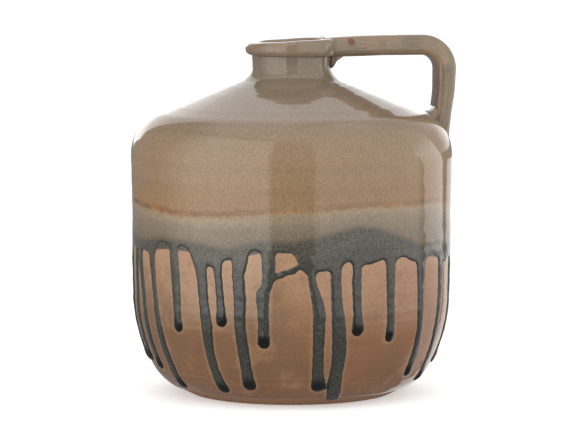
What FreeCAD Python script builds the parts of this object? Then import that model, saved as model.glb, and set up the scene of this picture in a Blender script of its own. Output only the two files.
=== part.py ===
import FreeCAD, Part
import math
import os

# A jug-shaped stoneware vase: thrown body, rolled rim, pulled strap handle, and glaze that has run.
# Millimetres. The pot's axis is Z, the foot stands on z = 0, and the handle is on the +X side.
# An azimuth is in degrees, counted from the front (-Y) towards the handle side (+X).

V = FreeCAD.Vector
UP = V(0, 0, 1)
HOME = V(0, 0, 0)

# ---- thrown body: each corner is radius, height and the radius that rounds it ----
foot_r = 56.5
foot_ring_w = 6.0
foot_recess = 2.0
neck_r = 21.5
neck_top = 188.5
outside = [(foot_r, 0.0, 0.0), (74.1, 8.8, 29.0), (87.2, 37.3, 85.0), (89.3, 150.7, 25.0),
           (20.8, 177.0, 10.0), (neck_r, neck_top, 0.0)]

floor_z = 7.5
neck_bore_r = 17.5
inside = [(0.0, floor_z, 0.0), (66.5, floor_z, 12.0), (82.6, 36.5, 84.0), (84.5, 147.6, 21.0),
          (neck_bore_r, 173.0, 7.0), (neck_bore_r, neck_top, 0.0)]

# ---- rolled rim ----
rim_r = 25.6
rim_middle_z = 196.4        # height of the rim's top over the pot's axis
rim_tilt = 3.0              # degrees, rising towards the handle
rim_round = 3.0

# ---- pulled strap handle, drawn in its own upright plane as distance from the axis and height ----
handle_turn = 8.0           # degrees that the handle's plane is turned from +X towards the back
strap_w = 20.0
strap_round = 3.5
strap_outside = [(19.0, 198.0, 0.0), (50.0, 199.3, 200.0), (92.4, 199.5, 21.0), (91.9, 165.0, 60.0),
                 (88.6, 131.0, 0.0)]
strap_inside = [(19.0, 187.7, 0.0), (50.0, 188.0, 200.0), (81.0, 188.0, 7.0), (80.9, 172.0, 60.0),
                (78.6, 131.0, 0.0)]

# ---- slip that fixes the handle ----
rim_slip_w = 11.0
rim_slip_bottom = 181.5
rim_slip_reach = 28.5
shoulder_slip_w = 17.0
shoulder_slip_rise = 5.0
shoulder_slip_reach = 4.5

# ---- glaze ----
liner_t = 0.4
clear_t = 0.25
coat_t = 0.5
run_t = 1.6
bare_foot_h = 6.0           # bare clay between the table and the clear glaze
dark_bottom = 84.0
dark_top = 92.0
grey_top = 108.0

# Each run of glaze: azimuth where it starts, azimuth of its end, height of its end, width.
runs = [(-75.0, -74.5, 20.0, 6.0), (-70.0, -65.2, 16.8, 6.5), (-60.0, -55.5, 7.5, 7.0), (-46.0, -45.0, 41.0, 6.8),
        (-34.0, -30.5, 8.0, 7.0), (-27.0, -25.8, 46.0, 6.0), (-19.0, -17.8, 10.6, 7.2), (-8.2, -9.8, 35.0, 7.0),
        (6.2, 11.5, 10.2, 7.2), (15.5, 19.5, 4.0, 7.6), (25.0, 24.2, 41.2, 7.0), (37.2, 38.5, 36.6, 7.0),
        (52.0, 54.0, 14.6, 7.6), (68.5, 69.5, 9.5, 7.0), (83.0, 84.0, 17.0, 7.0), (96.0, 97.0, 34.0, 6.6),
        (107.0, 109.0, 11.0, 7.2), (120.0, 119.0, 48.0, 6.0), (131.0, 133.0, 9.0, 7.4), (143.0, 144.5, 27.0, 6.6),
        (154.0, 153.0, 13.0, 7.0), (167.0, 168.0, 44.0, 6.4), (177.0, 180.0, 8.0, 7.4), (190.0, 191.0, 38.0, 6.6),
        (201.0, 199.5, 15.0, 7.0), (213.0, 214.0, 24.0, 6.4), (224.0, 227.0, 7.5, 7.4), (237.0, 236.0, 50.0, 6.0),
        (248.0, 250.0, 12.0, 7.0), (260.0, 261.0, 31.0, 6.6), (272.0, 274.0, 18.0, 7.0)]


def unit(a, b):
    """The direction from corner a to corner b."""
    length = math.hypot(b[0] - a[0], b[1] - a[1])
    return (b[0] - a[0]) / length, (b[1] - a[1]) / length


def rounded_line(corners):
    """Edges in the XZ plane through the corners, each corner rounded by its own tangent arc."""
    edges = []
    last = V(corners[0][0], 0, corners[0][1])
    for before, here, after in zip(corners, corners[1:], corners[2:]):
        if not here[2]:
            point = V(here[0], 0, here[1])
            edges.append(Part.makeLine(last, point))
            last = point
            continue
        come = unit(before, here)
        go = unit(here, after)
        turn = math.acos(come[0] * go[0] + come[1] * go[1])
        back = here[2] * math.tan(turn / 2)
        start = V(here[0] - come[0] * back, 0, here[1] - come[1] * back)
        end = V(here[0] + go[0] * back, 0, here[1] + go[1] * back)
        to_centre = V(go[0] - come[0], 0, go[1] - come[1])
        to_centre.normalize()
        reach = here[2] / math.cos(turn / 2) - here[2]
        middle = V(here[0], 0, here[1]) + to_centre * reach
        edges.append(Part.makeLine(last, start))
        edges.append(Part.Arc(start, middle, end).toShape())
        last = end
    edges.append(Part.makeLine(last, V(corners[-1][0], 0, corners[-1][1])))
    return edges


def grown(corners, amount):
    """The corners moved to the right of the line's travel, so that the new line runs parallel."""
    moved = []
    for i, corner in enumerate(corners):
        ways = []
        if i > 0:
            ways.append(unit(corners[i - 1], corner))
        if i < len(corners) - 1:
            ways.append(unit(corner, corners[i + 1]))
        first, second = ways[0], ways[-1]
        share = amount / (1 + first[0] * second[0] + first[1] * second[1])
        left_turn = first[0] * second[1] - first[1] * second[0] > 0
        rounding = corner[2] + (amount if left_turn else -amount) if corner[2] else 0.0
        moved.append((corner[0] + (first[1] + second[1]) * share,
                      corner[1] - (first[0] + second[0]) * share, rounding))
    return moved


def closed_face(edges):
    """A flat face inside the given edges and, where they don't meet, one closing line."""
    wire = Part.Wire(Part.__sortEdges__(edges))
    if not wire.isClosed():
        ends = wire.OrderedVertexes
        wire = Part.Wire(Part.__sortEdges__(edges + [Part.makeLine(ends[-1].Point, ends[0].Point)]))
    return Part.Face(wire)


def end_point(corners, i):
    return V(corners[i][0], 0, corners[i][1])


def skin(corners, amount):
    """A thin turned layer on one side of a line."""
    other = grown(corners, amount)
    edges = rounded_line(corners) + rounded_line(other)
    edges.append(Part.makeLine(end_point(corners, 0), end_point(other, 0)))
    edges.append(Part.makeLine(end_point(corners, -1), end_point(other, -1)))
    return closed_face(edges).revolve(HOME, UP, 360)


def slab(low, high):
    return Part.makeCylinder(150, high - low, V(0, 0, low))


def one_solid(shape):
    """The largest solid of a cut, with needless edges removed."""
    solids = sorted(shape.Solids, key=lambda s: s.Volume)
    return solids[-1].removeSplitter()


def thrown_body():
    under = [(0.0, foot_recess, 0.0), (foot_r - foot_ring_w - 1, foot_recess, 0.0),
             (foot_r - foot_ring_w, 0.0, 0.0), (foot_r, 0.0, 2.0)]
    return closed_face(rounded_line(under + outside[1:] + inside[::-1])).revolve(HOME, UP, 360)


def rolled_rim():
    """A ring on the neck, its top cut at a slight tilt and all its edges rounded."""
    bore_r = neck_bore_r - liner_t
    ring = Part.makeCylinder(rim_r, 20, V(0, 0, neck_top)).cut(Part.makeCylinder(bore_r, 20, V(0, 0, neck_top)))
    above = Part.makeBox(100, 100, 40, V(-50, -50, 0))
    above.rotate(HOME, V(0, 1, 0), -rim_tilt)
    above.translate(V(0, 0, rim_middle_z))
    ring = ring.cut(above)
    rims = [e for e in ring.Edges if len(e.Vertexes) == 1 and e.BoundBox.XLength > 10]
    keep_sharp = min(rims, key=lambda e: e.BoundBox.ZMax + e.BoundBox.XLength / 100)
    return ring.makeFillet(rim_round, [e for e in rims if not e.isSame(keep_sharp)])


def strap_handle(pot):
    side = rounded_line(strap_outside) + rounded_line(strap_inside)
    side.append(Part.makeLine(end_point(strap_outside, 0), end_point(strap_inside, 0)))
    side.append(Part.makeLine(end_point(strap_outside, -1), end_point(strap_inside, -1)))
    face = closed_face(side)
    face.translate(V(0, -strap_w / 2, 0))
    strap = face.extrude(V(0, strap_w, 0))
    long_edges = [e for e in strap.Edges if e.BoundBox.YLength < 0.01 and e.BoundBox.XMax > 19.5
                  and e.BoundBox.ZMax > 131.5]
    strap = strap.makeFillet(strap_round, long_edges)
    strap.rotate(HOME, UP, handle_turn)
    return one_solid(strap.cut(pot))


def slip_web(corners, width, neighbours):
    """A web of slip in the handle's plane, trimmed so that it only touches its neighbours."""
    face = closed_face(rounded_line(corners + corners[:1]))
    face.translate(V(0, -width / 2, 0))
    web = face.extrude(V(0, width, 0))
    web.rotate(HOME, UP, handle_turn)
    for other in neighbours:
        web = web.cut(other)
    return one_solid(web)


def run_stencil(start, end, end_z, width):
    """A tongue with a round end, long enough radially to cut a run out of a thin layer."""
    wall_r = outside[3][0]
    shift = wall_r * math.radians(start - end)
    half = width / 2
    top_half = half * 0.9
    right = V(half, 0, end_z + half)
    left = V(-half, 0, end_z + half)
    top_right = V(shift + top_half, 0, dark_bottom)
    top_left = V(shift - top_half, 0, dark_bottom)
    edges = [Part.makeLine(top_right, right), Part.Arc(right, V(0, 0, end_z), left).toShape(),
             Part.makeLine(left, top_left), Part.makeLine(top_left, top_right)]
    face = Part.Face(Part.Wire(edges))
    face.translate(V(0, -45, 0))
    tongue = face.extrude(V(0, -60, 0))
    tongue.rotate(HOME, UP, end)
    return tongue


def build():
    parts = {}
    body = thrown_body()
    rim = rolled_rim()
    handle = strap_handle(body.fuse(rim))
    parts["stoneware_body"] = body
    parts["rim_bead"] = rim
    parts["strap_handle"] = handle

    web = [(neck_r - 2, rim_slip_bottom, 0.0), (neck_r + 1.5, rim_slip_bottom, 0.0), (neck_r + 3.0, 186.0, 6.0),
           (rim_slip_reach, 189.0, 0.0), (neck_r - 2, 192.0, 0.0)]
    parts["handle_rim_joint"] = slip_web(web, rim_slip_w, [body, rim, handle])

    foot_in = 82.0
    foot_z = 150.4
    wedge = [(foot_in - shoulder_slip_reach - 3, foot_z + 4.3, 0.0), (foot_in - 2.0, foot_z + 5.6, 5.0),
             (foot_in - 0.5, foot_z + 6 + shoulder_slip_rise, 0.0), (foot_in + 2, foot_z + 6, 0.0),
             (foot_in + 2, foot_z - 4, 0.0), (foot_in - shoulder_slip_reach, foot_z - 4, 0.0)]
    parts["handle_shoulder_joint"] = slip_web(wedge, shoulder_slip_w, [body, handle])
    trims = [handle, parts["handle_rim_joint"], parts["handle_shoulder_joint"]]

    parts["liner_glaze"] = skin(inside, -liner_t)

    coat = skin(outside, coat_t)
    zones = {"tan_glaze": (grey_top, neck_top), "grey_glaze_band": (dark_top, grey_top),
             "dark_glaze_band": (dark_bottom, dark_top)}
    for name, (low, high) in zones.items():
        zone = coat.common(slab(low, high))
        for other in trims + [rim]:
            if zone.BoundBox.ZMax > other.BoundBox.ZMin:
                zone = zone.cut(other)
        parts[name] = one_solid(zone)

    stencils = [run_stencil(*run) for run in runs]
    clear = skin(outside, clear_t).common(slab(bare_foot_h, dark_bottom))
    parts["clear_glaze"] = one_solid(clear.cut(stencils))
    thick = skin(outside, run_t).common(slab(0.5, dark_bottom))
    for i, stencil in enumerate(stencils):
        parts["glaze_run_%02d" % (i + 1)] = one_solid(thick.common(stencil))
    return parts


os.makedirs("parts", exist_ok=True)
for name, shape in build().items():
    shape.exportStep("parts/%s.step" % name)
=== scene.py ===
import math

import bpy
import numpy as np
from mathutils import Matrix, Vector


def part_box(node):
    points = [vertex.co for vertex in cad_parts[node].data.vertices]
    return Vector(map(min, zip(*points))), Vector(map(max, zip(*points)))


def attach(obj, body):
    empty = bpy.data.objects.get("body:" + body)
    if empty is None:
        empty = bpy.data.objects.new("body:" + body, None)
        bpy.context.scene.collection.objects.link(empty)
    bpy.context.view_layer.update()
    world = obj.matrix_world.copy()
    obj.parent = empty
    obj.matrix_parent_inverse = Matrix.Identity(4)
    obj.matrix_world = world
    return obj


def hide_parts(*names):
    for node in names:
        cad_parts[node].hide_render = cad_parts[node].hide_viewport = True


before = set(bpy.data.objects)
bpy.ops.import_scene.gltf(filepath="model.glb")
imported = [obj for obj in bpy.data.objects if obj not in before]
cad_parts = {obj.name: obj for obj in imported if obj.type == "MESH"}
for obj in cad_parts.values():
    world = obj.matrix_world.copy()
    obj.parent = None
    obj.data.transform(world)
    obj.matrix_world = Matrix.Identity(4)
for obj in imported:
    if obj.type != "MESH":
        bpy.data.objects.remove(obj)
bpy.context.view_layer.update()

# A jug-shaped stoneware vase. Lengths are in millimetres until a mesh is made. The pot's axis is Z.
# An azimuth is in degrees, counted from the front (-Y) towards the handle side (+X).

MM = 0.001
rng = np.random.default_rng(11)


def node_box(name):
    low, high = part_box(name)
    return np.array(low) / MM, np.array(high) / MM


# ---- sizes from the frame ----
_, body_high = node_box("stoneware_body")
rim_low, rim_high = node_box("rim_bead")
wall_r = body_high[0]
neck_top = body_high[2]
rim_r = rim_high[0]

# ---- outlines: each corner is radius, height and the radius that rounds it ----
foot_r = 56.5
shoulder_r = wall_r + 0.65
neck_r = 21.5
neck_bore_r = 17.5
outside = [(foot_r, 0.0, 0.0), (74.1, 8.8, 29.0), (87.2, 37.3, 85.0), (shoulder_r, 150.8, 25.0),
           (20.8, 177.0, 10.0), (neck_r, neck_top, 0.0)]
inside = [(0.0, 7.5, 0.0), (66.5, 7.5, 12.0), (82.6, 36.5, 84.0), (84.5, 147.6, 21.0),
          (neck_bore_r, 173.0, 7.0), (neck_bore_r, neck_top, 0.0)]
coat_t = 0.5
liner_t = 0.4
handle_turn = math.radians(8.0)      # the handle's plane, turned from +X to the back

# ---- glaze by azimuth: heights, and how strong the rust is ----
rust_line = [(-180, 109.5), (-130, 111.5), (-79.5, 110.6), (-47, 107.6), (-37, 107.0), (-21, 108.0),
             (3, 110.0), (24.5, 112.4), (58, 111.2), (100, 108.5), (140, 110.5), (180, 109.5)]
rust_depth = [(-180, 0.5), (-130, 0.8), (-80, 1.0), (-50, 0.9), (-30, 0.65), (-12, 0.5), (-4, 0.08),
              (6, 0.1), (14, 0.35), (60, 0.45), (100, 0.6), (150, 0.75), (180, 0.5)]
dark_line = [(-180, 92.0), (-150, 96.0), (-120, 91.0), (-95, 93.5), (-68.5, 88.8), (-50, 91.4),
             (-33, 91.2), (-23, 87.6), (-10.5, 92.6), (0, 92.6), (10, 95.2), (17, 98.2), (24.5, 100.0),
             (32.5, 98.2), (41.5, 94.0), (52, 87.8), (66, 84.5), (85, 88.5), (105, 94.0), (125, 90.0),
             (150, 95.0), (180, 92.0)]
band_foot = [(-180, 83.0), (-160, 80.5), (-139, 85.0), (-117, 82.0), (-98, 86.0), (-86, 82.0),
             (-75.2, 84.8), (-64.5, 83.2), (-57.5, 82.8), (-54.5, 88.6), (-51.8, 89.6), (-46, 88.5),
             (-41.2, 88.6), (-37, 84.0), (-29.5, 78.2), (-26.5, 79.5), (-23.5, 82.6), (-19, 85.0),
             (-13, 87.8), (-2.5, 87.8), (0.8, 86.6), (2.2, 82.0), (3.2, 77.6), (11.2, 76.8), (16, 79.0),
             (21.2, 82.2), (25, 80.0), (28.5, 79.5), (33.5, 82.0), (38, 82.0), (43, 82.2), (48, 79.5),
             (53, 79.0), (61.3, 81.6), (68, 78.0), (73.2, 74.6), (80, 78.0), (90, 81.0), (101, 84.0),
             (113, 80.0), (125, 86.5), (137, 82.0), (149, 79.0), (160, 85.5), (180, 83.0)]

# Each run's course from its top: height, azimuth, width. It ends at its CAD node's lowest point.
courses = {
    1: [(82, -75.0, 6.0), (50, -74.8, 5.4), (24, -74.5, 6.4)],
    2: [(76, -69.8, 6.2), (55, -66.8, 5.4), (34, -66.4, 6.6), (22, -65.8, 6.4)],
    3: [(81, -59.6, 6.7), (70, -58.8, 5.2), (57, -57.5, 4.9), (43, -56.6, 6.2), (29, -55.9, 6.6),
        (12, -55.2, 6.8)],
    4: [(82, -46.0, 6.9), (72, -45.5, 7.0), (59, -45.0, 6.3), (48, -44.8, 5.6), (44, -44.9, 6.6)],
    5: [(84, -34.6, 9.6), (80, -34.0, 8.6), (74, -33.2, 7.0), (60, -32.5, 6.2), (46, -31.5, 7.2),
        (33, -31.6, 5.8), (22, -31.2, 5.8), (12, -30.1, 7.0)],
    6: [(80, -26.8, 5.6), (74, -26.4, 4.6), (61, -25.7, 4.7), (51, -25.3, 5.5), (48, -25.5, 6.4)],
    7: [(86, -18.2, 10.0), (81, -18.2, 8.8), (75, -18.8, 7.0), (61, -18.2, 7.1), (48, -18.4, 6.4),
        (34, -17.8, 6.6), (23, -17.4, 6.2), (14, -17.3, 7.2)],
    8: [(86, -8.0, 7.6), (75, -7.8, 7.2), (70, -8.4, 6.0), (66, -9.8, 7.4), (62, -10.1, 7.2),
        (58, -9.9, 6.4), (48, -9.8, 6.0), (38, -9.9, 6.4)],
    9: [(78, 6.2, 5.4), (75, 7.0, 4.2), (69, 7.7, 4.4), (62, 9.0, 6.1), (55, 9.8, 6.9), (48, 9.8, 6.8),
        (34, 9.8, 6.0), (23, 10.1, 6.2), (13, 11.0, 7.4)],
    10: [(80, 15.7, 6.4), (72, 15.7, 5.9), (61, 16.0, 6.2), (48, 16.9, 7.8), (34, 17.7, 8.2),
         (26, 17.8, 7.6), (19, 17.5, 7.6), (12, 18.0, 8.0), (5, 19.6, 7.6)],
    11: [(84, 23.9, 6.6), (78, 23.6, 5.2), (71, 23.4, 5.6), (61, 23.6, 5.1), (54, 23.9, 5.2),
         (49, 24.1, 5.8), (44.5, 24.2, 6.9)],
    12: [(84, 37.4, 7.6), (80, 37.4, 6.8), (70, 37.5, 5.9), (60, 37.6, 5.4), (46, 38.0, 5.4),
         (40, 38.1, 6.2)],
    13: [(78, 53.2, 8.8), (74, 53.2, 7.8), (64, 53.1, 6.0), (50, 53.4, 5.8), (43, 53.9, 5.2),
         (36, 54.0, 5.6), (29, 54.4, 6.4), (18, 54.6, 6.6)],
    14: [(76, 68.3, 7.6), (62, 68.4, 6.6), (48, 67.4, 5.6), (37, 67.4, 5.8), (13, 69.0, 6.4)]}
# A thin bridge between two runs: azimuth, height.
link = [(-7.0, 73.0), (-3.2, 75.6), (0.6, 77.6), (3.6, 80.5)]
link_w = 2.6
thin_ends = (10,)           # runs that thin out at the foot without a dark bead

band_t = 0.4
run_t = 0.8
bulb_t = 0.5
curtain_top = 101.0
cell = 0.7                 # spacing of the glaze mesh, mm


# ---------------------------------------------------------------- outlines

def rounded_line(corners, step=0.3):
    """Points (radius, height) along straight edges and tangent arcs."""
    points = [np.array(corners[0][:2])]
    for before, here, after in zip(corners, corners[1:], corners[2:]):
        corner = np.array(here[:2])
        come = corner - np.array(before[:2])
        go = np.array(after[:2]) - corner
        come /= np.linalg.norm(come)
        go /= np.linalg.norm(go)
        turn = math.atan2(come[0] * go[1] - come[1] * go[0], come @ go)
        if not here[2]:
            points.append(corner)
            continue
        start = corner - come * here[2] * math.tan(abs(turn) / 2)
        side = math.copysign(1, turn)
        centre = start + np.array((-come[1], come[0])) * side * here[2]
        for f in np.linspace(0, 1, max(4, int(here[2] * abs(turn) / step))):
            c, s = math.cos(turn * f), math.sin(turn * f)
            arm = start - centre
            points.append(centre + np.array((c * arm[0] - s * arm[1], s * arm[0] + c * arm[1])))
    points.append(np.array(corners[-1][:2]))
    return np.array(points)


class Outline:
    """A line in the radius-height plane, read by distance along it."""

    def __init__(self, corners):
        points = rounded_line(corners)
        lengths = np.r_[0, np.cumsum(np.linalg.norm(np.diff(points, axis=0), axis=1))]
        keep = np.r_[True, np.diff(lengths) > 1e-6]
        self.points, self.s = points[keep], lengths[keep]
        self.length = self.s[-1]

    def at(self, s):
        return np.interp(s, self.s, self.points[:, 0]), np.interp(s, self.s, self.points[:, 1])

    def out(self, s):
        """Unit normal on the right of the line's travel."""
        low, high = np.clip(s - 0.6, 0, self.length), np.clip(s + 0.6, 0, self.length)
        r0, z0 = self.at(low)
        r1, z1 = self.at(high)
        size = np.hypot(r1 - r0, z1 - z0)
        return (z1 - z0) / size, -(r1 - r0) / size

    def at_height(self, z):
        return np.interp(z, self.points[:, 1], self.s)


wall = Outline(outside)
bore = Outline(inside)


# ---------------------------------------------------------------- surface

# Each throwing ring: wavelength along the wall, phase, how it leans, and where the lean starts.
ring_waves = [(rng.uniform(3.5, 16), rng.uniform(0, 6.3), rng.integers(-2, 3), rng.uniform(0, 6.3))
              for _ in range(9)]


def ripple(azimuth, s):
    """Throwing rings and a slight lack of roundness, mm outward."""
    turn = np.radians(azimuth)
    out = 0.10 * np.sin(2 * turn + 0.6) + 0.06 * np.sin(3 * turn + s / 40)
    for wave, phase, around, shift in ring_waves:
        out = out + 0.016 * np.sin(6.283 * s / wave + phase + around * 0.25 * np.sin(turn + shift))
    return out


def place(azimuth, r, z):
    turn = np.radians(azimuth)
    return np.stack((r * np.sin(turn), -r * np.cos(turn), z + 0 * turn), axis=-1)


def wall_point(azimuth, s, lift):
    """A point over the outside of the clay, lift mm out along the normal."""
    r, z = wall.at(s)
    nr, nz = wall.out(s)
    near_ends = np.clip(s / 12, 0, 1) * np.clip((wall.length - s) / 12, 0, 1)
    lift = lift + ripple(azimuth, s) * near_ends
    return place(azimuth, r + nr * lift, z + nz * lift)


# ---------------------------------------------------------------- meshes

def add_mesh(name, points, faces, material, attributes=None, sharp=60):
    mesh = bpy.data.meshes.new(name)
    mesh.from_pydata((np.asarray(points) * MM).tolist(), [], faces)
    mesh.validate()
    mesh.polygons.foreach_set("use_smooth", np.ones(len(mesh.polygons), bool))
    mesh.set_sharp_from_angle(angle=math.radians(sharp))
    for key, values in (attributes or {}).items():
        layer = mesh.attributes.new(key, "FLOAT", "POINT")
        layer.data.foreach_set("value", np.asarray(values, np.float32).ravel())
    mesh.materials.append(material)
    obj = bpy.data.objects.new(name, mesh)
    bpy.context.scene.collection.objects.link(obj)
    return obj


def grid_faces(rows, columns, wrap_rows=False):
    """Quads of a grid whose columns go all the way round."""
    r = np.arange(rows if wrap_rows else rows - 1)[:, None]
    c = np.arange(columns)[None, :]
    r2, c2 = (r + 1) % rows, (c + 1) % columns
    quads = np.stack((r * columns + c, r * columns + c2, r2 * columns + c2, r2 * columns + c), axis=-1)
    return quads.reshape(-1, 4).tolist()


def turned_ring(name, section, material, columns=360, attributes=None, tweak=None):
    """A closed ring from a closed section (radius, height), with an optional change by azimuth."""
    azimuth = np.linspace(-180, 180, columns, endpoint=False)[None, :]
    r = np.repeat(section[:, :1], columns, axis=1)
    z = np.repeat(section[:, 1:], columns, axis=1)
    if tweak:
        r, z = tweak(azimuth, r, z)
    points = place(azimuth + 0 * r, r, z).reshape(-1, 3)
    return add_mesh(name, points, grid_faces(len(section), columns, True), material, attributes)


def turned_solid(name, section, material, columns=240, tweak=None):
    """A closed solid from a section that starts and ends on the axis."""
    azimuth = np.linspace(-180, 180, columns, endpoint=False)[None, :]
    inner = section[1:-1]
    r = np.repeat(inner[:, :1], columns, axis=1)
    z = np.repeat(inner[:, 1:], columns, axis=1)
    if tweak:
        r, z = tweak(azimuth, r, z)
    points = place(azimuth + 0 * r, r, z).reshape(-1, 3).tolist()
    faces = grid_faces(len(inner), columns)
    first, last = len(points), len(points) + 1
    points += [[0, 0, section[0][1]], [0, 0, section[-1][1]]]
    top = (len(inner) - 1) * columns
    for c in range(columns):
        nxt = (c + 1) % columns
        faces.append([first, nxt, c])
        faces.append([last, top + c, top + nxt])
    return add_mesh(name, points, faces, material, sharp=50)


# ---------------------------------------------------------------- where the dark glaze lies

def ring_interp(azimuth, table):
    """Smooth periodic reading of (azimuth, value) rows."""
    keys, values = np.array(table, float).T
    azimuth = (azimuth + 180) % 360 - 180
    out = 0
    spread = (-0.9, -0.3, 0.3, 0.9)
    for d in spread:
        out = out + np.interp((azimuth + d + 180) % 360 - 180, keys, values)
    return out / len(spread)


def run_rows():
    """Each run's end height, its course and how dark its end bead is. Undrawn runs follow their CAD nodes."""
    rows = []
    names = [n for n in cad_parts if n.startswith("glaze_run_")]
    for number in range(1, len(names) + 1):
        low, high = node_box("glaze_run_%02d" % number)
        if number in courses:
            rows.append((low[2], courses[number], 0.15 if number in thin_ends else 1.0))
            continue
        middle = (low + high) / 2
        azimuth = math.degrees(math.atan2(middle[0], -middle[1]))
        sway = rng.normal(0, 0.5, 5)
        width = rng.uniform(5.6, 7.2)
        heights = np.linspace(high[2] - 1, low[2] + width / 2, 5)
        widths = width * np.array((1.25, 1.0, rng.uniform(0.8, 1.0), rng.uniform(0.85, 1.05), 1.08))
        azimuths = azimuth + np.cumsum(sway) / 2
        rows.append((low[2], list(zip(heights, azimuths, widths)), 1.0))
    return rows


runs = run_rows()


def turn_gap(a, b):
    return (a - b + 180) % 360 - 180


def smooth_min(a, b, k):
    h = np.clip(k - np.abs(a - b), 0, None) / k
    return np.minimum(a, b) - h * h * k / 4


def dark_distance(azimuth, s):
    """Distance in mm to the dark glaze's edge, negative inside it, and nearness to a run's end bead."""
    r, z = wall.at(s)
    r = r + coat_t
    foot = ring_interp(azimuth, band_foot) + 0.5 * np.sin(azimuth * 0.61) * np.sin(azimuth * 0.17 + 1)
    nearest = wall.at_height(foot) - s
    tip = np.zeros_like(nearest)
    edge_noise = 0.10 * np.sin(s * 0.9 + azimuth * 0.8) + 0.07 * np.sin(s * 1.9 - azimuth * 1.3)
    for end_z, course, bead in runs:
        heights, azimuths, widths = np.array(sorted(course), float).T
        keys = wall.at_height(heights)
        end_s = float(wall.at_height(end_z))
        bulb = widths[0] / 2 * 1.04
        centre_s = end_s + bulb
        middle = np.interp(s, keys, azimuths)
        half = np.interp(s, keys, widths) / 2
        x = np.radians(turn_gap(azimuth, middle)) * r
        half = half + (bulb - half) * np.exp(-((s - centre_s) / 4.0) ** 2)
        d = np.where(s > centre_s, np.abs(x) - half, np.hypot(x, s - centre_s) - bulb)
        nearest = smooth_min(nearest, d, 3.4)
        reach = np.hypot(x, (s - centre_s) * 0.9) / bulb
        tip = np.maximum(tip, np.clip(1.75 - reach, 0, 1) * bead)
    for (a0, z0), (a1, z1) in zip(link, link[1:]):
        x0, x1 = np.radians(turn_gap(azimuth, a0)) * r, np.radians(a1 - a0) * r
        y0, y1 = s - wall.at_height(z0), wall.at_height(z1) - wall.at_height(z0)
        f = np.clip((x0 * x1 + y0 * y1) / (x1 ** 2 + y1 ** 2), 0, 1)
        nearest = smooth_min(nearest, np.hypot(x0 - f * x1, y0 - f * y1) - link_w / 2, 2.0)
    return nearest + edge_noise * np.clip(z / 20, 0, 1), tip


def glaze_values(azimuth, s):
    """What the glaze materials read at each point."""
    _, z = wall.at(s)
    gap, tip = dark_distance(azimuth, s)
    return {"gap": gap, "tip": tip,
            "over_dark": z - ring_interp(azimuth, dark_line),
            "over_rust": z - ring_interp(azimuth, rust_line),
            "rust_depth": ring_interp(azimuth, rust_depth)}


# ---------------------------------------------------------------- materials

def srgb(r, g, b):
    def linear(v):
        v /= 255
        return v / 12.92 if v <= 0.04045 else ((v + 0.055) / 1.055) ** 2.4
    return (linear(r), linear(g), linear(b), 1.0)


class Material:
    """A node material built line by line."""

    def __init__(self, name):
        self.material = bpy.data.materials.new(name)
        self.material.use_nodes = True
        self.tree = self.material.node_tree
        self.shader = self.tree.nodes["Principled BSDF"]

    def node(self, kind, inputs=None, **settings):
        made = self.tree.nodes.new(kind)
        for key, value in settings.items():
            setattr(made, key, value)
        for key, value in (inputs or {}).items():
            self.put(made.inputs[key], value)
        return made

    def put(self, socket, value):
        if isinstance(value, bpy.types.NodeSocket):
            self.tree.links.new(value, socket)
        else:
            socket.default_value = value

    def math(self, operation, *values, clamp=False):
        made = self.node("ShaderNodeMath", operation=operation, use_clamp=clamp)
        for socket, value in zip(made.inputs, values):
            self.put(socket, value)
        return made.outputs[0]

    def ramp_value(self, value, low, high, out_low=0.0, out_high=1.0, smooth=True):
        made = self.node("ShaderNodeMapRange", {"Value": value, "From Min": low, "From Max": high,
                                                "To Min": out_low, "To Max": out_high})
        made.interpolation_type = "SMOOTHSTEP" if smooth else "LINEAR"
        return made.outputs[0]

    def mix(self, factor, a, b, blend="MIX"):
        made = self.node("ShaderNodeMix", data_type="RGBA", blend_type=blend)
        for index, value in ((0, factor), (6, a), (7, b)):
            self.put(made.inputs[index], value)
        return made.outputs[2]

    def ramp(self, value, stops, low, high):
        """Colours by value, with the stops given in the value's own units."""
        place_on = self.ramp_value(value, low, high, smooth=False)
        made = self.node("ShaderNodeValToRGB", {"Fac": place_on})
        elements = made.color_ramp.elements
        while len(elements) < len(stops):
            elements.new(0.5)
        for element, (at, colour) in zip(elements, stops):
            element.position = (at - low) / (high - low)
            element.color = srgb(*colour)
        return made.outputs[0]

    def value(self, name):
        return self.node("ShaderNodeAttribute", attribute_name=name).outputs["Fac"]

    def coordinates(self):
        return self.node("ShaderNodeTexCoord").outputs["Object"]

    def stretched(self, scale):
        return self.node("ShaderNodeMapping", {"Vector": self.coordinates(), "Scale": scale}).outputs[0]

    def noise(self, vector, scale, detail=4.0, roughness=0.5):
        made = self.node("ShaderNodeTexNoise", {"Vector": vector, "Scale": scale, "Detail": detail,
                                                "Roughness": roughness})
        return made.outputs["Fac"]

    def shifted(self, value, noise, size):
        """The value moved up and down by noise, at most half of size each way."""
        return self.math("ADD", value, self.math("MULTIPLY", self.math("SUBTRACT", noise, 0.5), size))

    def bump(self, height, strength, distance):
        return self.node("ShaderNodeBump", {"Height": height, "Strength": strength,
                                            "Distance": distance}).outputs[0]


def glaze_surface(m, colour, roughness=0.06):
    """Glossy fired glaze with a fine orange peel."""
    peel = m.noise(m.coordinates(), 260, 2)
    swell = m.noise(m.stretched((1, 1, 2.5)), 38, 2)
    height = m.math("ADD", m.math("MULTIPLY", peel, 0.25), swell)
    m.put(m.shader.inputs["Base Color"], colour)
    m.put(m.shader.inputs["Roughness"], roughness)
    m.put(m.shader.inputs["IOR"], 1.52)
    m.put(m.shader.inputs["Normal"], m.bump(height, 0.10, 0.0006))
    return m.material


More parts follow.
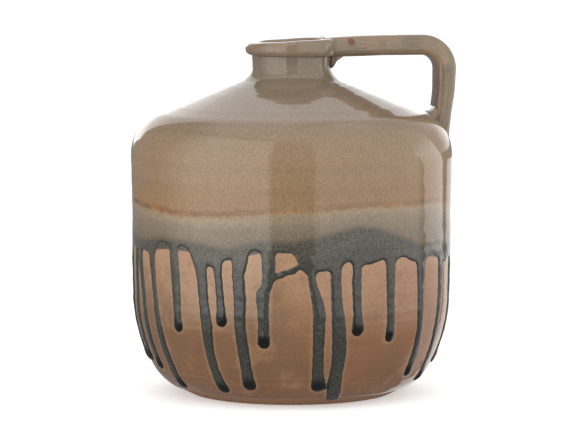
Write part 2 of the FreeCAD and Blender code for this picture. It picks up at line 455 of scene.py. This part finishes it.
def banded_colour(m):
    """The reactive glaze above the runs, by height over the rust line and over the dark band."""
    over_rust = m.value("over_rust")
    over_dark = m.value("over_dark")
    rust_depth_here = m.value("rust_depth")
    streak = m.noise(m.stretched((1, 1, 0.3)), 420, 4, 0.65)
    cloud = m.noise(m.coordinates(), 22, 3)
    ragged = m.noise(m.stretched((1, 1, 0.6)), 190, 4, 0.65)
    cloud_wide = m.noise(m.stretched((1, 1, 3.0)), 9, 3)
    rings = m.noise(m.stretched((0.08, 0.08, 5)), 60, 3)
    fine = m.noise(m.coordinates(), 900, 3, 0.7)
    wander = m.math("MULTIPLY", m.math("SUBTRACT", cloud, 0.5), 4.0)
    jag = m.math("MULTIPLY", m.math("SUBTRACT", ragged, 0.5), 4.5)
    rust_height = m.math("ADD", over_rust, m.math("ADD", wander, jag))
    upper = m.ramp(rust_height, [(-22, (97, 87, 74)), (-16, (104, 93, 79)), (-9, (118, 106, 91)),
                                 (-3.5, (141, 123, 100)), (-1.2, (140, 112, 80)), (2.5, (134, 105, 76)),
                                 (8, (133, 105, 76)), (20, (137, 111, 82)), (38, (138, 115, 90)),
                                 (48, (127, 109, 90)), (66, (125, 111, 96)), (90, (126, 114, 100))], -26, 92)
    on_line = m.ramp_value(m.math("ABSOLUTE", rust_height), 0.7, 2.3, 1.0, 0.0)
    burnt = m.ramp_value(m.noise(m.stretched((1, 1, 0.6)), 48, 4, 0.6), 0.38, 0.54)
    rust = m.mix(burnt, srgb(136, 80, 34), srgb(78, 38, 8))
    upper = m.mix(m.math("MULTIPLY", m.math("MULTIPLY", on_line, rust_depth_here), 0.9), upper, rust)
    from_glow = m.math("ABSOLUTE", m.math("SUBTRACT", rust_height, 5.0))
    glow = m.math("MULTIPLY", m.ramp_value(from_glow, 1.0, 11.0, 1.0, 0.0), rust_depth_here)
    upper = m.mix(m.math("MULTIPLY", glow, 0.45), upper, srgb(140, 98, 58))
    upper = m.mix(m.ramp_value(streak, 0.45, 0.8, 0.0, 0.22), upper, srgb(96, 78, 58))
    upper = m.mix(m.ramp_value(fine, 0.5, 0.70, 0.0, 0.45), upper, srgb(98, 77, 55))
    upper = m.mix(m.ramp_value(fine, 0.30, 0.5, 0.36, 0.0), upper, srgb(168, 146, 120))
    upper = m.mix(m.ramp_value(rings, 0.5, 0.75, 0.0, 0.16), upper, srgb(98, 84, 68))
    upper = m.mix(m.ramp_value(cloud_wide, 0.3, 0.7, 0.0, 0.2), upper, srgb(132, 116, 95))
    grain = m.math("ADD", m.math("MULTIPLY", m.math("SUBTRACT", fine, 0.5), 3.0), wander)
    dark_part = m.ramp_value(m.math("ADD", over_dark, m.math("MULTIPLY", grain, 0.9)), -2.2, 2.6, 1.0, 0.0)
    dark = m.mix(m.ramp_value(fine, 0.35, 0.7), srgb(57, 55, 48), srgb(92, 86, 75))
    return m.mix(dark_part, upper, dark)


def clear_colour(m):
    """Terracotta clay under clear glaze, paler near the runs where a painted reflection is laid on, and
    darker towards the foot, partly the clay's own tone and partly painted shade of the underside.
    """
    gap = m.value("gap")
    height = m.node("ShaderNodeSeparateXYZ", {"Vector": m.coordinates()}).outputs[2]
    patch = m.noise(m.stretched((1, 1, 0.5)), 16, 3)
    rings = m.noise(m.stretched((0.15, 0.15, 6)), 60, 3)
    fine = m.noise(m.coordinates(), 700, 3, 0.6)
    level = m.shifted(height, patch, 0.03)
    mottle = m.noise(m.coordinates(), 70, 4, 0.65)
    # the height ramp darkens towards the foot: partly the clay's own tone, partly painted shade where the
    # belly turns under
    body = m.ramp(level, [(0.0, (113, 82, 60)), (0.02, (112, 81, 58)), (0.04, (116, 86, 62)),
                          (0.052, (131, 101, 76)), (0.066, (150, 119, 90)), (0.085, (164, 130, 101))],
                  0.0, 0.09)
    body = m.mix(m.ramp_value(patch, 0.48, 0.68, 0.0, 0.5), body, srgb(139, 92, 66))
    body = m.mix(m.ramp_value(patch, 0.3, 0.48, 0.4, 0.0), body, srgb(101, 74, 54))
    body = m.mix(m.ramp_value(mottle, 0.5, 0.7, 0.0, 0.35), body, srgb(98, 73, 55))
    body = m.mix(m.ramp_value(mottle, 0.3, 0.48, 0.3, 0.0), body, srgb(157, 123, 95))
    # pale horizontal ring streaks: partly painted highlight where the throwing rings catch the light, partly
    # faint horizontal scratch marks
    body = m.mix(m.ramp_value(rings, 0.55, 0.8, 0.0, 0.3), body, srgb(156, 121, 92))
    body = m.mix(m.ramp_value(fine, 0.48, 0.7, 0.0, 0.32), body, srgb(94, 70, 54))
    # pale band beside the runs: a painted reflection of the studio light on the run edges
    painted_reflection_halo = m.ramp_value(gap, 0.0, 2.4, 0.3, 0.0)
    return m.mix(painted_reflection_halo, body, srgb(164, 128, 99))


def outer_glaze_material():
    m = Material("outer_glaze")
    lower = m.ramp_value(m.value("over_dark"), -6, -5, 1.0, 0.0)
    return glaze_surface(m, m.mix(lower, banded_colour(m), clear_colour(m)))


def dark_glaze_material():
    m = Material("dark_glaze")
    gap, tip = m.value("gap"), m.value("tip")
    over_dark = m.value("over_dark")
    fine = m.noise(m.coordinates(), 900, 3, 0.7)
    cloud = m.noise(m.coordinates(), 60, 3)
    height = m.node("ShaderNodeSeparateXYZ", {"Vector": m.coordinates()}).outputs[2]
    grain = m.ramp_value(fine, 0.38, 0.68)
    run = m.mix(grain, srgb(50, 49, 44), srgb(80, 75, 66))
    run_low = m.mix(grain, srgb(44, 45, 41), srgb(67, 65, 58))
    run = m.mix(m.ramp_value(height, 0.05, 0.088, 0.0, 1.0), run_low, run)
    edge = m.ramp_value(m.shifted(gap, cloud, 1.2), -1.4, -0.5)
    run = m.mix(m.math("MULTIPLY", edge, 0.85), run, srgb(36, 42, 39))
    run = m.mix(tip, run, srgb(9, 8, 9))
    band = banded_colour(m)
    edge_band = m.ramp_value(gap, -1.5, -0.4, 0.0, 0.85)
    band = m.mix(edge_band, band, srgb(44, 48, 44))
    in_band = m.ramp_value(m.shifted(over_dark, cloud, 8.0), -14, -7)
    return glaze_surface(m, m.mix(in_band, run, band), 0.05)


def rim_material():
    m = Material("rim_glaze")
    fine = m.noise(m.coordinates(), 700, 3, 0.7)
    cloud = m.noise(m.coordinates(), 45, 3)
    rings = m.noise(m.stretched((0.15, 0.15, 6)), 90, 3)
    colour = m.mix(m.ramp_value(cloud, 0.35, 0.65), srgb(126, 111, 94), srgb(143, 120, 96))
    colour = m.mix(m.ramp_value(rings, 0.45, 0.7, 0.0, 0.35), colour, srgb(94, 82, 67))
    colour = m.mix(m.ramp_value(fine, 0.5, 0.75, 0.0, 0.4), colour, srgb(84, 72, 58))
    return glaze_surface(m, colour)


def strap_material():
    """The strap's glaze, with fine dark lines along the pull, pale lines along it that are painted highlight
    streaks, and one rust spot near the rim.
    """
    m = Material("strap_glaze")
    along, across = m.value("along"), m.value("across")
    slow = m.math("MULTIPLY", along, 0.012)
    drawn = m.node("ShaderNodeCombineXYZ", {0: slow, 1: across, 2: 0.0}).outputs[0]
    lines = m.noise(drawn, 9, 4, 0.6)
    fine = m.noise(m.coordinates(), 800, 3, 0.7)
    cloud = m.noise(m.coordinates(), 50, 3)
    colour = m.mix(m.ramp_value(cloud, 0.35, 0.65), srgb(128, 112, 93), srgb(146, 124, 98))
    colour = m.mix(m.ramp_value(lines, 0.42, 0.66, 0.0, 0.5), colour, srgb(86, 74, 60))
    # pale lines along the pull: painted highlight streaks
    colour = m.mix(m.ramp_value(lines, 0.3, 0.42, 0.4, 0.0), colour, srgb(160, 145, 122))
    colour = m.mix(m.ramp_value(fine, 0.5, 0.75, 0.0, 0.3), colour, srgb(84, 72, 58))
    spot = (0.0330, -0.0054, 0.1960)
    apart = m.node("ShaderNodeVectorMath", {0: m.coordinates(), 1: spot}, operation="DISTANCE")
    reach = m.shifted(apart.outputs["Value"], fine, 0.004)
    colour = m.mix(m.ramp_value(reach, 0.0012, 0.0030, 0.85, 0.0), colour, srgb(96, 52, 30))
    return glaze_surface(m, colour)


def liner_material():
    m = Material("inner_glaze")
    cloud = m.noise(m.coordinates(), 40, 3)
    return glaze_surface(m, m.mix(cloud, srgb(176, 122, 82), srgb(150, 98, 62)))


def clay_material():
    m = Material("bare_clay")
    fine = m.noise(m.coordinates(), 900, 4, 0.7)
    rings = m.noise(m.stretched((1, 1, 6)), 60, 3)
    colour = m.mix(m.ramp_value(fine, 0.3, 0.7), srgb(126, 90, 66), srgb(148, 110, 82))
    colour = m.mix(m.ramp_value(rings, 0.5, 0.8, 0.0, 0.3), colour, srgb(128, 88, 62))
    m.put(m.shader.inputs["Base Color"], colour)
    m.put(m.shader.inputs["Roughness"], 0.8)
    m.put(m.shader.inputs["Normal"], m.bump(fine, 0.4, 0.0004))
    return m.material


# ---------------------------------------------------------------- pieces

def even_section(outline, start, end, step, lift):
    s = np.linspace(start, end, max(2, int(abs(end - start) / step)))
    r, z = outline.at(s)
    nr, nz = outline.out(s)
    return s, np.stack((r + nr * lift, z + nz * lift), axis=-1)


def make_clay_body(material):
    under = [(0.0, 2.0, 0.0), (47.0, 2.0, 1.5), (50.5, 0.0, 0.8), (foot_r, 0.0, 2.0), outside[1],
             (79.0, 19.5, 0.0)]
    foot = Outline(under)
    _, low = even_section(foot, 0, foot.length - 1.0, 1.2, 0.0)
    start = wall.at_height(20.0)
    _, side = even_section(wall, start, wall.length, 2.5, 0.0)
    _, hollow = even_section(bore, bore.length, 0, 2.5, 0.0)
    section = np.vstack((low, side, hollow))

    def rings(azimuth, r, z):
        turning = 0.12 * np.sin(r * 1.9 + np.radians(azimuth)) * np.clip((49 - r) / 4, 0, 1) * (z < 5)
        return r, z + turning
    return turned_solid("clay_body", section, material, tweak=rings)


def make_outer_glaze(material, columns=480):
    """The glaze over the whole outside, one closed thin ring whose lower edge wanders."""
    azimuth = np.linspace(-180, 180, columns, endpoint=False)[None, :]
    turn = np.radians(azimuth)
    bottom = wall.at_height(5.0) + 0.6 * np.sin(turn * 5) + 0.4 * np.sin(turn * 13 + 1)
    top = wall.length + 0.4
    lower_rows, upper_rows = 96, 84
    split = float(wall.at_height(96))
    share = np.linspace(0, 1, lower_rows)[:, None]
    s = np.vstack((bottom + (split - bottom) * share,
                   np.repeat(np.linspace(split, top, upper_rows)[1:, None], columns, axis=1)))
    rise = np.clip((s - bottom) / 1.2, 0, 1)
    lift = coat_t * np.sqrt(1 - (1 - rise) ** 2)
    front = wall_point(azimuth + 0 * s, s, lift)
    back = wall_point(azimuth + 0 * s, s, -0.35 + 0 * s)[::-1]
    points = np.vstack((front, back)).reshape(-1, 3)
    values = glaze_values(azimuth + 0 * s, s)
    attributes = {k: np.vstack((v, v[::-1])) for k, v in values.items()}
    return add_mesh("outer_glaze", points, grid_faces(2 * len(s), columns, True), material, attributes)


def make_dark_glaze(material):
    """The dark band and its runs: a closed sheet cut at the glaze's edge and swollen like a liquid."""
    columns = int(2 * math.pi * (wall_r + coat_t) / cell)
    low_s, top_s = float(wall.at_height(2.5)), float(wall.at_height(curtain_top))
    rows = int((top_s - low_s) / cell)
    azimuth, s = np.meshgrid(np.linspace(-180, 180, columns, endpoint=False), np.linspace(low_s, top_s, rows))
    r = wall.at(s)[0] + coat_t
    d = dark_distance(azimuth, s)[0]
    # grid points close to the edge move onto it
    step = 0.05
    across = (dark_distance(azimuth + np.degrees(step / r), s)[0] - d) / step
    along = (dark_distance(azimuth, s + step)[0] - d) / step
    size = np.maximum(np.hypot(across, along), 0.3)
    near = np.abs(d) < 0.3 * cell
    near[-1] = False
    azimuth = azimuth - np.where(near, np.degrees(d * across / size ** 2 / r), 0)
    s = s - np.where(near, d * along / size ** 2, 0)
    d = np.where(near, 0.0, d)
    az, ss, dd = azimuth.ravel().tolist(), s.ravel().tolist(), d.ravel().tolist()
    crossings = {}

    def crossing(a, b):
        key = (min(a, b), max(a, b))
        if key not in crossings:
            f = dd[a] / (dd[a] - dd[b])
            crossings[key] = len(az)
            az.append(az[a] + turn_gap(az[b], az[a]) * f)
            ss.append(ss[a] + (ss[b] - ss[a]) * f)
            dd.append(0.0)
        return crossings[key]

    faces = []
    for face in grid_faces(rows, columns):
        signs = [dd[v] for v in face]
        if min(signs) >= 0:
            continue
        if max(signs) <= 0:
            faces.append(face)
            continue
        cut = []
        for a, b in zip(face, face[1:] + face[:1]):
            if dd[a] <= 0:
                cut.append(a)
            if dd[a] * dd[b] < 0:
                cut.append(crossing(a, b))
        faces.append(cut)
    used = sorted({v for f in faces for v in f})
    place_of = {v: i for i, v in enumerate(used)}
    az, ss, dd = (np.array(x)[used] for x in (az, ss, dd))
    faces = [[place_of[v] for v in f] for f in faces]
    # height of the swollen glaze
    _, z = wall.at(ss)
    values = glaze_values(az, ss)
    depth = np.clip(-dd, 0, 3.1) / 3.1
    round_top = np.sqrt(1 - (1 - depth) ** 2)
    full = band_t + (run_t - band_t) * np.clip((86 - z) / 12, 0, 1)
    full = full * np.clip((curtain_top - z) / 12, 0, 1) + bulb_t * values["tip"] * depth
    lumps = 1 + 0.06 * np.sin(ss * 0.55 + az * 0.9) + 0.05 * np.sin(ss * 0.23 - az * 0.5)
    top = wall_point(az, ss, coat_t + full * round_top * lumps)
    top_row = ss > top_s - 1e-6
    on_edge = (dd >= 0) | top_row
    under = wall_point(az, ss, coat_t - 0.2 * np.clip(-dd / 0.6, 0, 1) * ~top_row)
    below = np.where(on_edge, np.arange(len(az)), len(az) + np.cumsum(~on_edge) - 1)
    points = np.vstack((top, under[~on_edge]))
    faces += [[int(below[v]) for v in reversed(f)] for f in faces]
    attributes = {k: np.r_[v, v[~on_edge]] for k, v in values.items()}
    attributes["gap"] = np.r_[dd, dd[~on_edge]]
    return add_mesh("dark_glaze", points, faces, material, attributes, sharp=75)


def make_inner_glaze(material):
    _, back = even_section(bore, 0.0, bore.length, 2.0, 0.15)
    _, face = even_section(bore, bore.length, 0.0, 2.0, -liner_t)
    section = np.vstack(([[0.0, 7.35]], back[1:], face[:-1], [[0.0, 7.5 + liner_t]]))
    return turned_solid("inner_glaze", section, material)


def make_rim(material):
    """The rolled lip, flatter on the left and fuller towards the handle."""
    turns = np.linspace(0, 2 * math.pi, 56, endpoint=False)
    power = 2 / 2.5
    bore_r = neck_bore_r - liner_t
    half_w = (rim_r - bore_r) / 2
    across = np.sign(np.cos(turns)) * np.abs(np.cos(turns)) ** power
    upright = np.sign(np.sin(turns)) * np.abs(np.sin(turns)) ** power
    section = np.stack((bore_r + half_w + half_w * across, upright), axis=-1)
    middle_z = (rim_low[2] + rim_high[2]) / 2 + 3.2
    lean = math.tan(math.radians(3.0))

    def swell(azimuth, r, upright):
        turn = np.radians(azimuth)
        side = np.sin(turn)
        top = middle_z + 0.8 + r * side * lean
        bottom = neck_top - 0.25 - 0.4 * side
        z = bottom + (top - bottom) * (upright + 1) / 2
        z = z + 0.12 * np.sin(3 * turn + 1) + 0.06 * np.sin(7 * turn)
        r = r + 0.12 * np.sin(2 * turn) + 0.06 * np.sin(5 * turn + 2)
        return r, z
    return turned_ring("rolled_rim", section, material, 240, tweak=swell)


def in_handle_plane(rho, height, side):
    """Points by distance from the axis, height and distance to the side of the handle's plane."""
    return np.stack((rho * math.cos(handle_turn) - side * math.sin(handle_turn),
                     rho * math.sin(handle_turn) + side * math.cos(handle_turn), height), axis=-1)


def make_strap(material):
    """The pulled strap, swept down its centre line with a rounded oblong section."""
    corners = [(18.0, 193.2, 0.0), (50.0, 194.0, 160.0), (87.0, 194.2, 13.5), (86.2, 168.0, 60.0),
               (82.0, 137.0, 0.0)]
    centre = Outline(corners)
    s = np.linspace(0, centre.length, 150)
    x, z = centre.at(s)
    nx, nz = centre.out(s)
    # thickness and width by distance along the strap
    total = centre.length
    thick = np.interp(s, [0, 12, 45, 75, 100, 118, total], [11.3, 11.7, 12.3, 11.8, 11.0, 11.2, 12.5])
    wide = np.interp(s, [0, 6, 16, 45, 85, 110, total], [25, 23.5, 20.5, 19.5, 20.0, 21.6, 28.0])
    turns = np.linspace(0, 2 * math.pi, 64, endpoint=False)
    across = np.sign(np.cos(turns)) * np.abs(np.cos(turns)) ** 0.55
    upright = np.sign(np.sin(turns)) * np.abs(np.sin(turns)) ** 0.62
    groove = 0.30 * np.exp(-((across - 0.25) / 0.16) ** 2) + 0.22 * np.exp(-((across + 0.45) / 0.14) ** 2)
    upright = upright * (1 - 0.22 * groove)
    wobble = 1 + 0.02 * np.sin(s / 9)[:, None]
    inward = upright[None, :] * (thick / 2)[:, None] * wobble
    side = across[None, :] * (wide / 2)[:, None] * wobble
    points = in_handle_plane(x[:, None] - nx[:, None] * inward, z[:, None] - nz[:, None] * inward, side)
    # what would go through the pot's wall stays inside the clay
    flat = np.hypot(points[..., 0], points[..., 1])
    limit = wall.at(wall.at_height(np.minimum(points[..., 2], 150.0)))[0] - 3.0
    push = np.where((points[..., 2] < 152) & (flat < limit), limit / np.maximum(flat, 1), 1.0)
    points[..., 0] *= push
    points[..., 1] *= push
    rows, columns = points.shape[:2]
    faces = grid_faces(rows, columns)
    faces.append(list(range(columns))[::-1])
    faces.append([(rows - 1) * columns + c for c in range(columns)])
    attributes = {"along": np.repeat(s[:, None], columns, axis=1),
                  "across": np.repeat(np.abs(turns - math.pi)[None, :] * 2, rows, axis=0)}
    return add_mesh("pulled_strap", points.reshape(-1, 3), faces, material, attributes)


def make_slip(name, corners, width, material):
    """A smoothed web of slip in the handle's plane.

    Corners are distance from the axis and height, and run anticlockwise."""
    keys = np.array(corners + corners[:1], float)
    at = np.linspace(0, len(corners), 72, endpoint=False)
    loop = np.stack([np.interp(at, np.arange(len(keys)), keys[:, i]) for i in (0, 1)], axis=-1)
    for _ in range(10):
        loop = (np.roll(loop, 1, axis=0) + 2 * loop + np.roll(loop, -1, axis=0)) / 4
    middle = loop.mean(axis=0)
    levels = np.linspace(-1, 1, 25)[1:-1]
    slices = []
    for level in levels:
        shape = middle + (loop - middle) * (1 - abs(level) ** 2.6) ** 0.5
        slices.append(in_handle_plane(shape[:, 0], shape[:, 1], level * width / 2))
    points = np.vstack(slices)
    count = len(loop)
    faces = [f[::-1] for f in grid_faces(len(levels), count)]
    faces.append(list(range(count)))
    faces.append([(len(levels) - 1) * count + c for c in range(count)][::-1])
    return add_mesh(name, points, faces, material)


clay = make_clay_body(clay_material())
outer = make_outer_glaze(outer_glaze_material())
dark = make_dark_glaze(dark_glaze_material())
liner = make_inner_glaze(liner_material())
rim = make_rim(rim_material())
strap = make_strap(strap_material())
rim_web = [(20.0, 180.6), (22.8, 181.0), (24.6, 184.6), (30.5, 188.6), (30.0, 191.0), (20.0, 192.0)]
rim_slip = make_slip("rim_slip", rim_web, 15.0, rim_material())
shoulder_web = [(74.0, 149.0), (84.5, 148.0), (84.5, 159.0), (81.2, 161.5), (78.6, 157.8), (74.5, 157.2),
                (69.0, 154.5)]
shoulder_slip = make_slip("shoulder_slip", shoulder_web, 21.0, rim_material())

run_nodes = [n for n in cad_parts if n.startswith("glaze_run_")]
stand_for = [(clay, "bare_clay", ["stoneware_body"]),
             (outer, "tan_glaze", ["tan_glaze", "grey_glaze_band", "clear_glaze"]),
             (dark, "dark_glaze", ["dark_glaze_band"] + run_nodes),
             (liner, "liner_glaze", ["liner_glaze"]),
             (rim, "tan_glaze", ["rim_bead"]),
             (strap, "tan_glaze", ["strap_handle"]),
             (rim_slip, "tan_glaze", ["handle_rim_joint"]),
             (shoulder_slip, "tan_glaze", ["handle_shoulder_joint"])]
for piece, slot, nodes in stand_for:
    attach(piece, "root")
    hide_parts(*nodes)


# ---------------------------------------------------------------- stage

def floor_material():
    m = Material("floor")
    m.put(m.shader.inputs["Base Color"], (0.88, 0.88, 0.88, 1))
    m.put(m.shader.inputs["Roughness"], 0.9)
    m.put(m.shader.inputs["Specular IOR Level"], 0.0)
    m.put(m.shader.inputs["Emission Color"], (1, 1, 1, 1))
    m.put(m.shader.inputs["Emission Strength"], 0.40)
    return m.material


def make_floor():
    turns = np.linspace(0, 2 * math.pi, 96, endpoint=False)
    points = [[0, 0, 0]]
    faces = []
    for k, radius in enumerate((400.0, 2000.0, 8000.0, 30000.0)):
        points += [[radius * math.cos(a), radius * math.sin(a), 0] for a in turns]
        for i in range(96):
            j = (i + 1) % 96
            if k == 0:
                faces.append([0, 1 + i, 1 + j])
            else:
                a, b = 1 + (k - 1) * 96, 1 + k * 96
                faces.append([a + i, b + i, b + j, a + j])
    floor = add_mesh("floor", points, faces, floor_material())
    floor.visible_glossy = False


def card(name, azimuths, distance, heights, radiances, edges, surround=0.3, lean=0.0):
    """An upright curved light card round the pot, which the camera doesn't see.

    radiances are its brightness at its foot, at the floor, at 30 mm and 200 mm, and from 450 mm up. edges are
    the shares of its width over which its left and right sides fade to the surround. lean turns its top, in
    degrees."""
    columns = 24
    levels = np.r_[heights[0], 0, 10, 30, 80, 200, 400, 650, heights[1]]
    levels = np.unique(np.clip(levels, *heights))
    rows = len(levels)
    azimuth, height = np.meshgrid(np.linspace(*azimuths, columns), levels)
    azimuth = azimuth + lean * np.clip(height / 200, 0, 1)
    points = place(azimuth, distance + 0 * azimuth, height).reshape(-1, 3)
    faces = [[r * columns + c + 1, r * columns + c, (r + 1) * columns + c, (r + 1) * columns + c + 1]
             for r in range(rows - 1) for c in range(columns - 1)]
    m = Material(name)
    m.tree.nodes.remove(m.shader)
    share = m.value("share")
    left = m.ramp_value(share, 0.0, edges[0])
    right = m.ramp_value(share, 1.0 - edges[1], 1.0, 1.0, 0.0)
    side = m.math("MULTIPLY", left, right)
    bright = m.math("MULTIPLY", m.math("SUBTRACT", m.value("bright"), surround), side)
    light = m.node("ShaderNodeEmission", {"Strength": m.math("ADD", bright, surround)})
    behind = m.node("ShaderNodeNewGeometry").outputs["Backfacing"]
    both = m.node("ShaderNodeMixShader", {0: behind, 1: light.outputs[0],
                                          2: m.node("ShaderNodeBsdfTransparent").outputs[0]})
    m.put(m.tree.nodes["Material Output"].inputs["Surface"], both.outputs[0])
    values = {"share": np.linspace(0, 1, columns)[None, :] + 0 * height,
              "bright": np.interp(height, [heights[0] + 1, 0, 30, 200, 450], radiances)}
    made = add_mesh(name, points, faces, m.material, values)
    made.visible_camera = False


class Studio(Material):
    """The light from all round, by direction."""

    def __init__(self, name):
        self.world = bpy.data.worlds.new(name)
        self.world.use_nodes = True
        self.tree = self.world.node_tree
        bpy.context.scene.world = self.world

    def light(self):
        way = self.node("ShaderNodeTexCoord").outputs["Generated"]
        parts = self.node("ShaderNodeSeparateXYZ", {"Vector": way}).outputs
        side, back, up = parts[0], parts[1], parts[2]
        horizon = self.ramp_value(side, -0.3, 0.6, 0.3, 0.7)
        sky = self.between(self.ramp_value(up, 0.70, 0.92), horizon, 1.2)
        # a bright backdrop behind the pot: a crisp left end, a soft right end, dimmer as it rises
        turn = self.math("DEGREES", self.math("ARCTAN2", side, back))
        left_end = self.math("SUBTRACT", turn, self.ramp_value(up, 0.0, 0.16, 10.0, 0.0))
        right_end = self.ramp_value(turn, 24.0, 44.0, 1.0, 0.0)
        wide = self.math("MULTIPLY", self.ramp_value(left_end, -33.5, -30.5), right_end)
        dimmer = self.ramp_value(up, 0.34, 0.55, 0.0, -0.35)
        bright = self.math("ADD", self.ramp_value(up, 0.18, 0.34, 2.4, 1.6), dimmer)
        bright = self.math("MULTIPLY", bright, self.ramp_value(turn, -5.0, 28.0, 1.0, 0.6))
        sky = self.between(wide, sky, bright)
        below = self.ramp_value(up, -0.02, 0.01)
        background = self.tree.nodes["Background"]
        background.inputs["Color"].default_value = (1, 1, 1, 1)
        self.put(background.inputs["Strength"], self.between(below, 0.25, sky))

    def between(self, factor, low, high):
        """low where the factor is 0, high where it is 1."""
        rest = self.math("SUBTRACT", 1.0, factor)
        return self.math("ADD", self.math("MULTIPLY", rest, low), self.math("MULTIPLY", factor, high))


make_floor()
card("card_left", (-105, -12), 620, (-170, 900), (0.3, 1.8, 1.9, 1.9, 1.9), (0.5, 0.05))
card("card_right", (14, 103), 620, (-170, 900), (0.3, 1.2, 1.3, 1.3, 1.3), (0.04, 0.1))
card("card_strip", (106.5, 136.5), 600, (-400, 900), (0.6, 0.9, 1.6, 2.2, 0.9), (0.05, 0.05), lean=-15.0)
card("card_back", (143, 176), 900, (-600, 60), (1.0, 1.0, 1.0, 1.0, 1.0), (0.05, 0.3))
Studio("studio").light()
bpy.context.scene.view_settings.view_transform = "Standard"

camera_data = bpy.data.cameras.new("camera")
camera = bpy.data.objects.new("camera", camera_data)
bpy.context.scene.collection.objects.link(camera)
camera.location = (0.0009, -1.9, 0.287)
camera.rotation_euler = (math.pi / 2 - 0.100, 0, 0)
camera_data.sensor_width = 36.0
camera_data.lens = 209.4
camera_data.clip_end = 30
bpy.context.scene.camera = camera
